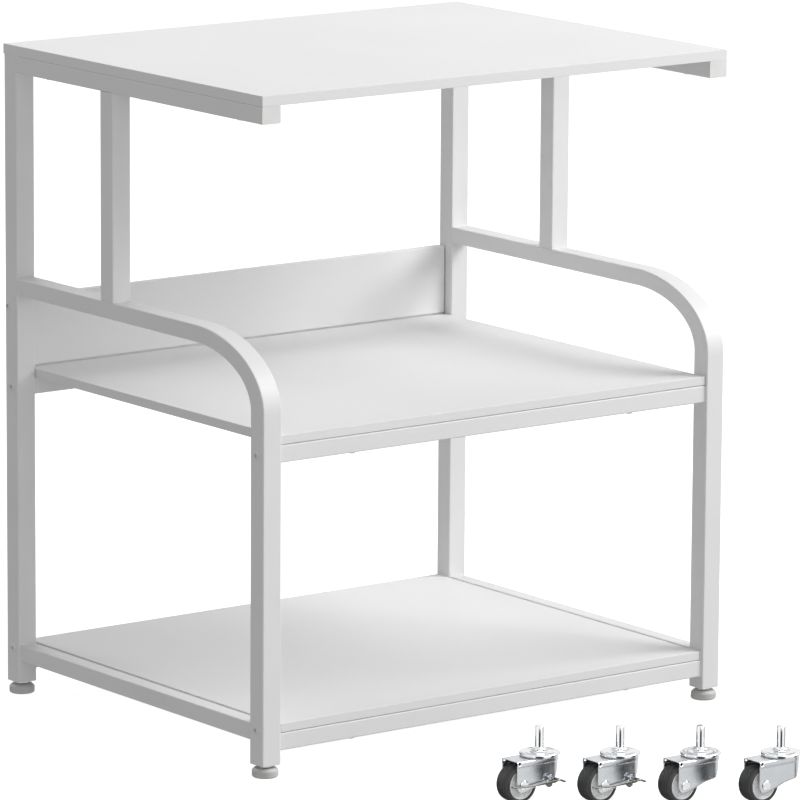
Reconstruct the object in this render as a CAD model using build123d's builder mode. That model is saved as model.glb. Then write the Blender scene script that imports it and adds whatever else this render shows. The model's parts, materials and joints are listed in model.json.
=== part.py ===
from build123d import *
import os
from math import cos, radians, sin, tan

# Printer stand with two welded tube side frames, three shelves, a low back panel, four
# levelling feet, and a set of four stem casters standing in a row in front of it.
# Millimetres, +Z up. The stand's long side runs along X and its open front faces -Y.
# The origin is on the floor, in the middle of the box around the stand and its casters.

os.makedirs("parts", exist_ok=True)

# ---- driving dimensions of the stand ----
stand_width = 664.0  # over the outer faces of the side frames
frame_depth = 518.0  # front face of the front legs to back face of the back legs
stand_height = 774.0  # floor to the top of the top board
tube = 25.0  # legs and posts are square tube
bar = 20.0  # height of rails, arms and crossbars
wall = 1.2  # wall thickness of every tube
tube_round = 1.5  # outer corner radius of the tubes
inner_round = 0.5
recess = 3.0  # how far crossbars and lower rails stand back from the leg faces
leg_bottom = 14.5  # underside of the leg plugs above the floor
overrun = 2.0  # how far cutting shapes run past the faces they cut
plug_play = 0.2  # how much smaller plugs are than the inside of their tubes

top_board_thick = 12.0
top_board_setback = 3.5  # board and top rails start this far behind the leg fronts
top_board_overhang = 1.5  # past the backs of the back legs
shelf_thick = 11.0
board_gap = 0.5
board_edge = 0.4  # rounding of the board edges
arm_top = 500.0
middle_shelf_top = 390.5
bottom_shelf_top = 60.5
post_back = 320.5  # back face of the posts, behind the leg fronts
bend_depth = 135.0  # outer half axes of the bend between front leg and arm
bend_height = 83.0
panel_thick = 12.0
panel_top = 475.0
panel_end_gap = 1.5
panel_inset = 0.5  # from the backs of the back legs
end_plate_thick = 2.0
cap_flange = 1.5  # visible thickness of the rail end caps
cap_plug = 12.0  # part of the end caps inside the rails

# ---- fasteners ----
bolt_radius = 3.0
bolt_hole_radius = 3.25
bolt_head_radius = 4.5
bolt_head_height = 1.4
bolt_head_round = 0.9
socket_size = 4.0
socket_depth = 2.0
insert_bore = 3.05
sleeve_radius = 4.45
sleeve_hole_radius = 4.5
screw_radius = 2.0
screw_hole_radius = 2.2
screw_head_radius = 4.0
screw_head_height = 2.4
screw_tip_cover = 3.0  # board left above the tip of a screw
shelf_screw_spacing = 400.0
rail_screw_setbacks = (60.0, 250.0, 440.0)  # top board screws, behind the leg fronts
panel_screw_gap = 5.0  # middle board screws in front of the panel
panel_bolt_drop = 10.0  # panel bolts below the top of the panel
bolt_reach = 12.0  # thread held beyond the inner face of a leg
sleeve_length = 15.0

# ---- levelling feet ----
stem_radius = 5.0  # thread of the feet and of the caster stems
stem_bore = 5.05
stem_chamfer = 0.8
pad_radius = 15.0
pad_height = 11.0
pad_rim = 8.0  # height of the straight rim, below the shoulder
pad_neck_radius = 12.0
pad_round = 2.5
spigot_radius = 4.0  # end of the stud, held in the pad
spigot_floor = 3.0  # bottom of the hole for it
collar_size = 13.0  # across the flats of the hex collar
face_gap = 0.3  # clearance between faces that move past each other
collar_gap = 0.4  # between the hex collar and the leg plug
stud_end_gap = 0.5  # from the end of the stud to the top of the leg plug
plug_flange = 1.5
plug_depth = 19.5

# ---- casters ----
wheel_radius = 21.5
tyre_width = 22.0
hub_radius = 17.2
tyre_gap = 0.05  # glue line between hub and tyre
trail = 32.0  # swivel axis to axle
fork_wall = 1.5
fork_outer = 14.5  # half width over the cheeks of the fork
fork_top = 49.0
fork_front = 22.5  # foremost point of the fork, ahead of the swivel axis
fork_skirt = 41.0  # lower edge of the fork at its front
cheek_round = 9.5  # radius of the cheeks about the axle
cheek_blend = 3.0  # rounding of the corners along the lower edge of the cheeks
fork_round = 1.2  # rounding of the bent edge round the top
race_radius = 20.9
race_height = 1.2
race_wall = 1.5
ball_radius = 1.25
ball_circle = 17.0
ball_count = 16
cap_radius = 22.5
cap_low = 50.5
cap_top = 53.4
cap_wall = 1.2
cap_round = 1.0
hex_size = 15.0  # across the flats, at the foot of the stem
hex_height = 4.0
stem_length = 25.2
kingpin_radius = 4.0
kingpin_head_radius = 6.5
kingpin_head = 2.5
axle_radius = 3.0
axle_head_radius = 5.5
axle_head = 2.0
axle_head_round = 1.0
running_gap = 0.05  # radial clearance of axles and pins in their holes
caster_pitch = 89.5
row_angle = radians(-35.5)
first_caster_x = -126.6
first_caster_ahead = 240.3  # in front of the leg fronts

# ---- brake pedals, on the first two casters; X is measured from the swivel axis ----
pedal_thick = 1.6
pedal_half = 19.0  # half width over the two arms
arm_inner = 17.0
pedal_z = 21.5
pedal_rear = -53.0  # end of the arm on the open side
back_arm_rear = -45.0  # end of the other arm, which is shorter
pedal_front = 26.5
window_front = 15.5  # the arms join ahead of this
pivot_ahead = 2.0
pivot_z = 26.0
pivot_radius = 1.5
pivot_head_radius = 2.4
ear_radius = 3.6
tongue_z = 16.0
tongue_half = 6.0
tongue_tip = -7.3
sheet_bend = 2.0  # radius of the bends along the sheet
tab_round = 7.0
window_round = 4.0
fork_corner_z = 24.0  # lower edge of the fork where its front begins to rise
adjuster_ahead = 14.0
adjuster_length = 9.0
adjuster_radius = 2.0

# ---- places worked out from the dimensions ----
caster_aheads = [first_caster_ahead - i * caster_pitch * sin(row_angle) for i in range(4)]
back_reach = frame_depth + top_board_overhang
front_reach = max(caster_aheads) + cap_radius
front = (front_reach - back_reach) / 2  # Y of the front faces of the front legs
caster_places = [
    (first_caster_x + i * caster_pitch * cos(row_angle), front - ahead)
    for i, ahead in enumerate(caster_aheads)
]
back = front + frame_depth

half_width = stand_width / 2
inner_face = half_width - tube  # inner faces of the side frames
leg_x = half_width - tube / 2
front_leg_y = front + tube / 2
back_leg_y = back - tube / 2
back_leg_front = back - tube
board_bottom = stand_height - top_board_thick
rail_bottom = board_bottom - bar
middle_bar_top = middle_shelf_top - shelf_thick
bottom_bar_top = bottom_shelf_top - shelf_thick
tube_bottom = leg_bottom + plug_flange
panel_back = back - panel_inset
panel_front = panel_back - panel_thick
middle_bolt_z = middle_bar_top - bar / 2
bottom_bolt_z = bottom_shelf_top - shelf_thick / 2
panel_bolt_z = panel_top - panel_bolt_drop
panel_y = (panel_front + panel_back) / 2
board_back_screws = panel_front - board_gap - panel_screw_gap
front_bar_y = front + recess + bar / 2
back_bar_y = back - recess - bar / 2

sides = (("left", -1), ("right", 1))
rows = (("front", front_bar_y), ("back", back_bar_y))
middle_screw_ys = (front_bar_y, board_back_screws)
axis_x = (0, 90, 0)  # turns a cylinder's axis from Z to X
axis_y = (90, 0, 0)  # turns a cylinder's axis from Z to Y


def save(piece, name):
    """Label the finished piece and write it to its own file."""
    piece.part.label = name
    export_step(piece.part, f"parts/{name}.step")


def tube_section(size_a, size_b):
    """Rounded rectangular tube section in the current sketch."""
    RectangleRounded(size_a, size_b, tube_round)
    inner = (size_a - 2 * wall, size_b - 2 * wall)
    RectangleRounded(*inner, inner_round, mode=Mode.SUBTRACT)


def drill(places, radius, depth, turn=(0, 0, 0)):
    """Round holes centred on the places."""
    with Locations(*[Location(place, turn) for place in places]):
        Cylinder(radius, depth, mode=Mode.SUBTRACT)


# ---- side frames ----
def back_leg(side, sign):
    with BuildPart() as leg:
        with BuildSketch(Plane.XY.offset(tube_bottom)):
            with Locations((sign * leg_x, back_leg_y)):
                tube_section(tube, tube)
        extrude(amount=board_bottom - tube_bottom)
        bolts = [
            (sign * leg_x, back_bar_y, middle_bolt_z),
            (sign * leg_x, back_bar_y, bottom_bolt_z),
            (sign * leg_x, panel_y, panel_bolt_z),
        ]
        drill(bolts, bolt_hole_radius, tube + overrun, axis_x)
    save(leg, f"{side}_back_leg")


def arm_outline(inset, extra):
    """Side view of the bent front tube: inset from its walls, longer at both ends by extra."""
    bend_y = front + bend_depth
    bend_z = arm_top - bend_height
    low = tube_bottom - extra
    rear = back_leg_front + extra
    outer_a = bend_depth - inset
    outer_b = bend_height - inset
    inner_a = bend_depth - tube + inset
    inner_b = bend_height - bar + inset
    with BuildLine() as outline:
        Line((front + inset, low), (front + inset, bend_z))
        EllipticalCenterArc((bend_y, bend_z), outer_a, outer_b, 90, arc_size=90)
        Line((bend_y, arm_top - inset), (rear, arm_top - inset))
        Line((rear, arm_top - inset), (rear, arm_top - bar + inset))
        Line((rear, arm_top - bar + inset), (bend_y, arm_top - bar + inset))
        EllipticalCenterArc((bend_y, bend_z), inner_a, inner_b, 90, arc_size=90)
        Line((front + tube - inset, bend_z), (front + tube - inset, low))
        Line((front + tube - inset, low), (front + inset, low))
    make_face(outline.edges())


def front_arm(side, sign):
    """Front leg and arm: one tube bent towards the back, a little flatter after the bend."""
    low_x = sign * leg_x - tube / 2
    with BuildPart() as arm:
        with BuildSketch(Plane.YZ.offset(low_x)):
            arm_outline(0, 0)
        extrude(amount=tube)
        cut_ends = arm.faces().filter_by(Axis.X).edges()
        long_edges = [
            edge
            for edge in cut_ends
            if edge.center().Z > tube_bottom + 1 and edge.center().Y < back_leg_front - 1
        ]
        fillet(long_edges, tube_round)
        with BuildSketch(Plane.YZ.offset(low_x + wall)):
            arm_outline(wall, overrun)
        extrude(amount=tube - 2 * wall, mode=Mode.SUBTRACT)
        bolts = [
            (sign * leg_x, front_bar_y, middle_bolt_z),
            (sign * leg_x, front_bar_y, bottom_bolt_z),
        ]
        drill(bolts, bolt_hole_radius, tube + overrun, axis_x)
    save(arm, f"{side}_front_arm")


def post(side, sign):
    with BuildPart() as upright:
        with BuildSketch(Plane.XY.offset(arm_top)):
            with Locations((sign * leg_x, front + post_back - tube / 2)):
                tube_section(tube, tube)
        extrude(amount=rail_bottom - arm_top)
    save(upright, f"{side}_post")


plug_width = tube - 2 * wall - plug_play
rail_front = front + top_board_setback + cap_flange
rail_screw_ys = [front + setback for setback in rail_screw_setbacks]


def top_rail(side, sign):
    centre = (sign * leg_x, rail_bottom + bar / 2)
    with BuildPart() as rail:
        with BuildSketch(Plane.XZ.offset(-back_leg_front)):
            with Locations(centre):
                tube_section(tube, bar)
        extrude(amount=back_leg_front - rail_front)
        screws = [(sign * leg_x, y, centre[1]) for y in rail_screw_ys]
        drill(screws, screw_hole_radius, bar + overrun)
    save(rail, f"{side}_top_rail")


def bottom_rail(side, sign):
    rail_x = sign * (half_width - recess - bar / 2)
    with BuildPart() as rail:
        with BuildSketch(Plane.XZ.offset(-back_leg_front)):
            with Locations((rail_x, bottom_shelf_top - bar / 2)):
                tube_section(bar, bar)
        extrude(amount=back_leg_front - front - tube)
    save(rail, f"{side}_bottom_rail")


for side, sign in sides:
    back_leg(side, sign)
    front_arm(side, sign)
    post(side, sign)
    top_rail(side, sign)
    bottom_rail(side, sign)

# Closing plugs in the front ends of the two top rails.
with BuildPart() as rail_end_caps:
    for side, sign in sides:
        centre = (sign * leg_x, rail_bottom + bar / 2)
        with BuildSketch(Plane.XZ.offset(-rail_front)):
            with Locations(centre):
                RectangleRounded(tube, bar, tube_round)
        extrude(amount=cap_flange)
        with BuildSketch(Plane.XZ.offset(-rail_front)):
            with Locations(centre):
                RectangleRounded(plug_width, bar - 2 * wall - plug_play, inner_round)
        extrude(amount=-cap_plug)
save(rail_end_caps, "rail_end_caps")


# ---- crossbars ----
def middle_crossbar(row, y, screw_y):
    with BuildPart() as crossbar:
        with BuildSketch(Plane.YZ.offset(-inner_face)):
            with Locations((y, middle_bar_top - bar / 2)):
                tube_section(bar, bar)
        extrude(amount=2 * inner_face)
        screws = [(sign * shelf_screw_spacing / 2, screw_y, middle_bolt_z) for _, sign in sides]
        drill(screws, screw_hole_radius, bar + overrun)
    save(crossbar, f"middle_{row}_crossbar")


def bottom_crossbar(row, y):
    """Crossbar with a taller welded plate on each end, which the side bolts pass through."""
    plate_height = bar + shelf_thick
    with BuildPart() as crossbar:
        with BuildSketch(Plane.YZ.offset(-inner_face)):
            with Locations((y, bottom_bar_top - bar / 2)):
                tube_section(bar, bar)
        extrude(amount=2 * inner_face)
        plate_x = inner_face - end_plate_thick / 2
        for _, sign in sides:
            with Locations((sign * plate_x, y, bottom_shelf_top - plate_height / 2)):
                Box(end_plate_thick, bar, plate_height)
        screws = [
            (sign * shelf_screw_spacing / 2, y, bottom_bar_top - bar / 2) for _, sign in sides
        ]
        drill(screws, screw_hole_radius, bar + overrun)
        bolts = [(sign * plate_x, y, bottom_bolt_z) for _, sign in sides]
        drill(bolts, bolt_hole_radius, end_plate_thick + overrun, axis_x)
    save(crossbar, f"bottom_{row}_crossbar")


for (row, y), screw_y in zip(rows, middle_screw_ys):
    middle_crossbar(row, y, screw_y)
    bottom_crossbar(row, y)


# ---- boards ----
def board_box(low, high):
    """Board between two corners with slightly rounded edges."""
    size = [b - a for a, b in zip(low, high)]
    centre = tuple((a + b) / 2 for a, b in zip(low, high))
    with Locations(centre):
        Box(*size)
    fillet(edges(), board_edge)


screw_depth = shelf_thick - screw_tip_cover
with BuildPart() as top_board:
    board_box(
        (-half_width, front + top_board_setback, board_bottom),
        (half_width, back + top_board_overhang, stand_height),
    )
    top_holes = [(sign * leg_x, y, board_bottom) for _, sign in sides for y in rail_screw_ys]
    drill(top_holes, screw_radius, 2 * screw_depth)
save(top_board, "top_board")

middle_half = inner_face - board_gap
with BuildPart() as middle_board:
    board_box(
        (-middle_half, front + recess, middle_bar_top),
        (middle_half, panel_front - board_gap, middle_shelf_top),
    )
    middle_holes = [
        (sign * shelf_screw_spacing / 2, y, middle_bar_top)
        for _, sign in sides
        for y in middle_screw_ys
    ]
    drill(middle_holes, screw_radius, 2 * screw_depth)
save(middle_board, "middle_board")

bottom_half = inner_face - end_plate_thick - board_gap
with BuildPart() as bottom_board:
    board_box(
        (-bottom_half, front + recess, bottom_bar_top),
        (bottom_half, back - recess, bottom_shelf_top),
    )
    bottom_holes = [
        (sign * shelf_screw_spacing / 2, y, bottom_bar_top) for _, sign in sides for _, y in rows
    ]
    drill(bottom_holes, screw_radius, 2 * screw_depth)
    board_bolts = [
        (sign * bottom_half, y, bottom_bolt_z) for _, sign in sides for _, y in rows
    ]
    drill(board_bolts, sleeve_hole_radius, 2 * sleeve_length, axis_x)
save(bottom_board, "bottom_board")

panel_half = inner_face - panel_end_gap
with BuildPart() as back_panel:
    board_box((-panel_half, panel_front, middle_bar_top), (panel_half, panel_back, panel_top))
    panel_bolts = [(sign * panel_half, panel_y, panel_bolt_z) for _, sign in sides]
    drill(panel_bolts, sleeve_hole_radius, 2 * sleeve_length, axis_x)
save(back_panel, "back_panel")


# ---- bolts, inserts and screws ----
def side_bolts(sign):
    """Ends of the bolts on one side: place on the leg's outer face."""
    places = [(y, z) for _, y in rows for z in (middle_bolt_z, bottom_bolt_z)]
    return [(sign * half_width, y, z) for y, z in places + [(panel_y, panel_bolt_z)]]


shank = tube + bolt_reach
with BuildPart() as frame_bolts:
    for _, sign in sides:
        for x, y, z in side_bolts(sign):
            with Locations(Location((x - sign * shank / 2, y, z), axis_x)):
                Cylinder(bolt_radius, shank)
            with Locations(Location((x + sign * bolt_head_height / 2, y, z), axis_x)):
                Cylinder(bolt_head_radius, bolt_head_height)
    heads = frame_bolts.edges().filter_by(GeomType.CIRCLE)
    rims = [
        edge
        for edge in heads
        if abs(edge.center().X) > half_width + bolt_head_height / 2 and edge.radius > bolt_radius
    ]
    fillet(rims, bolt_head_round)
    for _, sign in sides:
        for x, y, z in side_bolts(sign):
            socket_x = x + sign * (bolt_head_height - socket_depth)
            with BuildSketch(Plane((socket_x, y, z), x_dir=(0, 1, 0), z_dir=(sign, 0, 0))):
                RegularPolygon(socket_size / 2, 6, major_radius=False)
            extrude(amount=2 * socket_depth, mode=Mode.SUBTRACT)
save(frame_bolts, "frame_bolts")

# Threaded plugs welded in the ends of the middle crossbars.
with BuildPart() as crossbar_nuts:
    nut_size = bar - 2 * wall - plug_play
    for _, sign in sides:
        for _, y in rows:
            with BuildSketch(Plane.YZ.offset(sign * inner_face)):
                with Locations((y, middle_bolt_z)):
                    RectangleRounded(nut_size, nut_size, inner_round)
            extrude(amount=-sign * bolt_reach)
            drill([(sign * inner_face, y, middle_bolt_z)], insert_bore, 3 * bolt_reach, axis_x)
save(crossbar_nuts, "crossbar_nuts")

# Threaded sleeves set in the ends of the bottom board and of the back panel.
with BuildPart() as board_inserts:
    spots = [(bottom_half, y, bottom_bolt_z) for _, y in rows]
    spots.append((panel_half, panel_y, panel_bolt_z))
    for _, sign in sides:
        for x, y, z in spots:
            middle_x = sign * (x - sleeve_length / 2)
            with Locations(Location((middle_x, y, z), axis_x)):
                Cylinder(sleeve_radius, sleeve_length)
                Cylinder(insert_bore, sleeve_length + overrun, mode=Mode.SUBTRACT)
save(board_inserts, "board_inserts")

# Pan head screws driven upwards into the three boards.
with BuildPart() as board_screws:
    for holes in (top_holes, middle_holes, bottom_holes):
        for x, y, z in holes:
            low = z - bar
            tip = z + screw_depth
            with Locations((x, y, (low + tip) / 2)):
                Cylinder(screw_radius, tip - low)
            with Locations((x, y, low - screw_head_height / 2)):
                Cylinder(screw_head_radius, screw_head_height)
save(board_screws, "board_screws")


# ---- levelling feet ----
leg_spots = [
    (f"{row}_{side}", sign * leg_x, y)
    for row, y in (("front", front_leg_y), ("back", back_leg_y))
    for side, sign in sides
]

# Square plugs with a thread, pressed into the bottoms of the four legs.
with BuildPart() as leg_plugs:
    for _, x, y in leg_spots:
        with BuildSketch(Plane.XY.offset(leg_bottom)):
            with Locations((x, y)):
                RectangleRounded(tube, tube, tube_round)
        extrude(amount=plug_flange)
        with BuildSketch(Plane.XY.offset(tube_bottom)):
            with Locations((x, y)):
                RectangleRounded(plug_width, plug_width, inner_round)
        extrude(amount=plug_depth - plug_flange)
        drill([(x, y, leg_bottom)], stem_bore, 3 * plug_depth)
save(leg_plugs, "leg_plugs")

collar_low = pad_height + face_gap
collar_high = leg_bottom - collar_gap
stud_top = leg_bottom + plug_depth - stud_end_gap
standing = (Align.CENTER, Align.CENTER, Align.MIN)  # a solid standing on its place

for name, x, y in leg_spots:
    with BuildPart() as foot_pad:
        with Locations((x, y, 0)):
            Cylinder(pad_radius, pad_rim, align=standing)
        with Locations((x, y, pad_rim)):
            Cone(pad_radius, pad_neck_radius, pad_height - pad_rim, align=standing)
        rims = foot_pad.edges().filter_by(GeomType.CIRCLE).sort_by(SortBy.RADIUS)[-3:]
        fillet(rims, pad_round)
        drill([(x, y, pad_height)], spigot_radius + running_gap, 2 * (pad_height - spigot_floor))
    save(foot_pad, f"foot_pad_{name}")

    spigot_low = spigot_floor + face_gap
    with BuildPart() as foot_stud:
        with Locations((x, y, spigot_low)):
            Cylinder(spigot_radius, collar_low - spigot_low, align=standing)
        with BuildSketch(Plane.XY.offset(collar_low)):
            with Locations((x, y)):
                RegularPolygon(collar_size / 2, 6, major_radius=False)
        extrude(amount=collar_high - collar_low)
        with Locations((x, y, collar_high)):
            Cylinder(stem_radius, stud_top - collar_high, align=standing)
        chamfer(foot_stud.edges().sort_by(Axis.Z)[-1], stem_chamfer)
    save(foot_stud, f"foot_stud_{name}")


# ---- casters ----
def caster_stem(number, x, y):
    """Threaded stem with its hex, the cap over the ball race, and the kingpin below."""
    hex_top = cap_top + hex_height
    kingpin_low = fork_top - fork_wall - face_gap - kingpin_head
    with BuildPart() as stem:
        with Locations((x, y, cap_low)):
            Cylinder(cap_radius, cap_top - cap_low, align=standing)
        fillet(stem.edges().sort_by(Axis.Z)[-1], cap_round)
        hollow = cap_top - cap_wall - cap_low
        drill([(x, y, cap_low)], cap_radius - cap_wall, 2 * hollow)
        with Locations((x, y, kingpin_low)):
            Cylinder(kingpin_radius, cap_top - kingpin_low, align=standing)
            Cylinder(kingpin_head_radius, kingpin_head, align=standing)
        with BuildSketch(Plane.XY.offset(cap_top)):
            with Locations((x, y)):
                RegularPolygon(hex_size / 2, 6, major_radius=False)
        extrude(amount=hex_height)
        with Locations((x, y, hex_top)):
            Cylinder(stem_radius, stem_length, align=standing)
        chamfer(stem.edges().sort_by(Axis.Z)[-1], stem_chamfer)
    save(stem, f"caster_{number}_stem")


def caster_balls(number, x, y):
    race_middle = (fork_top + cap_top - cap_wall) / 2
    with BuildPart() as balls:
        with Locations((x, y, race_middle)):
            with PolarLocations(ball_circle, ball_count):
                Sphere(ball_radius)
    save(balls, f"caster_{number}_race_balls")


def fork_plan(half, tail, x, y):
    """Plan of the fork: two straight cheeks joined by a half circle at the front."""
    arc_x = x + fork_front - fork_outer
    with BuildLine() as outline:
        Line((x - tail, y - half), (arc_x, y - half))
        ThreePointArc((arc_x, y - half), (arc_x + half, y), (arc_x, y + half))
        Line((arc_x, y + half), (x - tail, y + half))
        Line((x - tail, y + half), (x - tail, y - half))
    make_face(outline.edges())


def fork_profile(x):
    """Side view of the cheeks: rounded about the axle, swept up to the front."""
    axle_x = x - trail
    tail_x = axle_x - cheek_round
    turn = radians(-70)
    leave = (axle_x + cheek_round * cos(turn), wheel_radius + cheek_round * sin(turn))
    lowest = (axle_x, wheel_radius - cheek_round)
    slope_end = (x - 5.3, leave[1] + (x - 5.3 - leave[0]) * tan(turn + radians(90)))
    level_end = (x + 12.0, fork_corner_z)
    with BuildLine() as outline:
        Line((tail_x, fork_top), (tail_x, wheel_radius))
        ThreePointArc((tail_x, wheel_radius), lowest, leave)
        Line(leave, slope_end)
        Line(slope_end, level_end)
        Line(level_end, (x + fork_front, fork_skirt))
        Line((x + fork_front, fork_skirt), (x + fork_front, fork_top))
        Line((x + fork_front, fork_top), (tail_x, fork_top))
    make_face(outline.edges())
    corners = vertices().filter_by_position(Axis.X, slope_end[0] - 1, level_end[0] + 1)
    fillet(corners, cheek_blend)


def caster_fork(number, x, y, braked):
    axle_x = x - trail
    low = wheel_radius - cheek_round
    tail = trail + cheek_round
    with BuildPart() as fork:
        with BuildSketch(Plane.XY.offset(low)):
            fork_plan(fork_outer, tail, x, y)
        extrude(amount=fork_top - low)
        fillet(fork.faces().sort_by(Axis.Z)[-1].edges(), fork_round)
        with BuildSketch(Plane.XZ.offset(-y)):
            fork_profile(x)
        extrude(amount=2 * fork_outer, both=True, mode=Mode.INTERSECT)
        with BuildSketch(Plane.XY.offset(low)):
            fork_plan(fork_outer - fork_wall, tail + overrun, x, y)
        extrude(amount=fork_top - fork_wall - low, mode=Mode.SUBTRACT)
        with Locations((x, y, fork_top - fork_wall)):
            Cylinder(race_radius, fork_wall + race_height, align=standing)
        drill([(x, y, fork_top + race_height)], race_radius - race_wall, 2 * race_height)
        drill([(x, y, fork_top)], kingpin_radius + running_gap, 6 * fork_wall)
        through = 4 * fork_outer
        drill([(axle_x, y, wheel_radius)], axle_radius + running_gap, through, axis_y)
        if braked:
            pivot = (x + pivot_ahead, y, pivot_z)
            drill([pivot], pivot_radius + running_gap, through, axis_y)
    save(fork, f"caster_{number}_fork")


def caster_axle(number, x, y):
    """Axle rod with a round head on each side of the fork."""
    with BuildPart() as axle:
        with Locations(Location((x - trail, y, wheel_radius), axis_y)):
            Cylinder(axle_radius, 2 * fork_outer)
        for sign in (-1, 1):
            head_y = y + sign * (fork_outer + axle_head / 2)
            with Locations(Location((x - trail, head_y, wheel_radius), axis_y)):
                Cylinder(axle_head_radius, axle_head)
        by_depth = axle.edges().sort_by(Axis.Y)
        fillet([by_depth[0], by_depth[-1]], axle_head_round)
    save(axle, f"caster_{number}_axle")


def caster_hub(number, x, y):
    """Wheel body: rim, web with ribs on both sides, and a bored boss."""
    middle = Plane(origin=(x - trail, y, wheel_radius), x_dir=(1, 0, 0), z_dir=(0, -1, 0))
    rim_half = tyre_width / 2 - 1.0
    rim_wall = 2.2
    web_half = 7.5
    well_radius = hub_radius - rim_wall
    boss_radius = 6.0
    boss_half = fork_outer - fork_wall - 1.0
    rib_length = well_radius - boss_radius + 1.0
    rib_thick = 1.4
    rib_height = rim_half - web_half - 0.8
    rib_count = 8
    with BuildPart() as hub:
        with BuildSketch(middle):
            Circle(hub_radius)
        extrude(amount=rim_half, both=True)
        for sign in (-1, 1):
            with BuildSketch(middle.offset(sign * web_half)):
                Circle(well_radius)
            extrude(amount=sign * rim_half, mode=Mode.SUBTRACT)
            with BuildSketch(middle.offset(sign * web_half)):
                with PolarLocations((well_radius + boss_radius) / 2, rib_count):
                    Rectangle(rib_length, rib_thick)
            extrude(amount=sign * rib_height)
        with BuildSketch(middle):
            Circle(boss_radius)
        extrude(amount=boss_half, both=True)
        with BuildSketch(middle):
            Circle(axle_radius + running_gap)
        extrude(amount=tyre_width, both=True, mode=Mode.SUBTRACT)
    save(hub, f"caster_{number}_hub")


def caster_tyre(number, x, y):
    """Rubber tyre with rounded shoulders and two shallow grooves."""
    inner = hub_radius + tyre_gap
    half = tyre_width / 2
    crown_half = 6.8
    groove_near = 3.2
    groove_far = 4.2
    groove_depth = 0.9
    shoulder_drop = 2.6  # below the tread, where the side wall ends
    bulge_drop = 0.75
    crown_drop = 0.5
    lip_drop = 0.1
    with BuildPart() as tyre:
        with BuildSketch(Plane(origin=(x - trail, y, wheel_radius))):
            with BuildLine():
                Line((inner, -half), (inner, half))
                Line((wheel_radius, -groove_near), (wheel_radius, groove_near))
                for sign in (-1, 1):
                    shoulder = (wheel_radius - shoulder_drop, sign * half)
                    bulge = (wheel_radius - bulge_drop, sign * (half + crown_half + 0.8) / 2)
                    crown = (wheel_radius - crown_drop, sign * crown_half)
                    outer_lip = (wheel_radius - lip_drop, sign * groove_far)
                    bottom = (wheel_radius - groove_depth, sign * (groove_near + groove_far) / 2)
                    Line((inner, sign * half), shoulder)
                    ThreePointArc(shoulder, bulge, crown)
                    Line(crown, outer_lip)
                    ThreePointArc(outer_lip, bottom, (wheel_radius, sign * groove_near))
            make_face()
        revolve(axis=Axis((x - trail, y, wheel_radius), (0, 1, 0)))
    save(tyre, f"caster_{number}_tyre")


def sheet_strip(points, half, x, y):
    """Bent strip of sheet following points in the side view."""
    with BuildSketch(Plane.XZ.offset(-y)) as strip:
        with BuildLine():
            FilletPolyline(*[(x + ahead, z) for ahead, z in points], radius=sheet_bend)
        trace(line_width=pedal_thick)
    extrude(strip.sketch, amount=half, both=True)


def brake_pedal(number, x, y):
    """Stamped brake lever: a yoke round the fork, a foot tab, and a tongue at the tyre."""
    # Points along each strip: distance ahead of the swivel axis, and height.
    yoke = ((pedal_rear, pedal_z), (16.0, pedal_z), (21.0, 18.8), (pedal_front, 17.5))
    tongue = ((23.0, 18.0), (18.5, tongue_z), (tongue_tip, tongue_z))
    with BuildPart() as pedal:
        sheet_strip(yoke, pedal_half, x, y)
        with BuildSketch() as plan:
            with Locations((x + (pedal_rear + pedal_front) / 2, y)):
                Rectangle(pedal_front - pedal_rear, 2 * pedal_half)
            corners = plan.vertices().sort_by(Axis.X)
            fillet(corners[-2:], tab_round)
        extrude(amount=2 * pedal_z, mode=Mode.INTERSECT)
        with BuildSketch() as window:
            with Locations((x + window_front - fork_top, y)):
                Rectangle(2 * fork_top, 2 * arm_inner)
            fillet(window.vertices().sort_by(Axis.X)[-2:], window_round)
        extrude(amount=2 * pedal_z, mode=Mode.SUBTRACT)
        ear_height = pivot_z - pedal_z
        for sign in (-1, 1):
            ear_y = y + sign * (arm_inner + pedal_thick / 2)
            with Locations((x + pivot_ahead, ear_y, pedal_z + ear_height / 2)):
                Box(2 * ear_radius, pedal_thick, ear_height)
            with Locations(Location((x + pivot_ahead, ear_y, pivot_z), axis_y)):
                Cylinder(ear_radius, pedal_thick)
        cut = back_arm_rear - pedal_rear
        with Locations((x + pedal_rear + cut / 2, y + pedal_half, pedal_z)):
            Box(cut, pedal_half, 2 * pedal_thick, mode=Mode.SUBTRACT)
        sheet_strip(tongue, tongue_half, x, y)
        pivot = (x + pivot_ahead, y, pivot_z)
        drill([pivot], pivot_radius + running_gap, 4 * fork_outer, axis_y)
        adjuster = (x + adjuster_ahead, y, tongue_z)
        drill([adjuster], adjuster_radius + running_gap, 2 * pedal_thick)
    save(pedal, f"caster_{number}_pedal")


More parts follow.
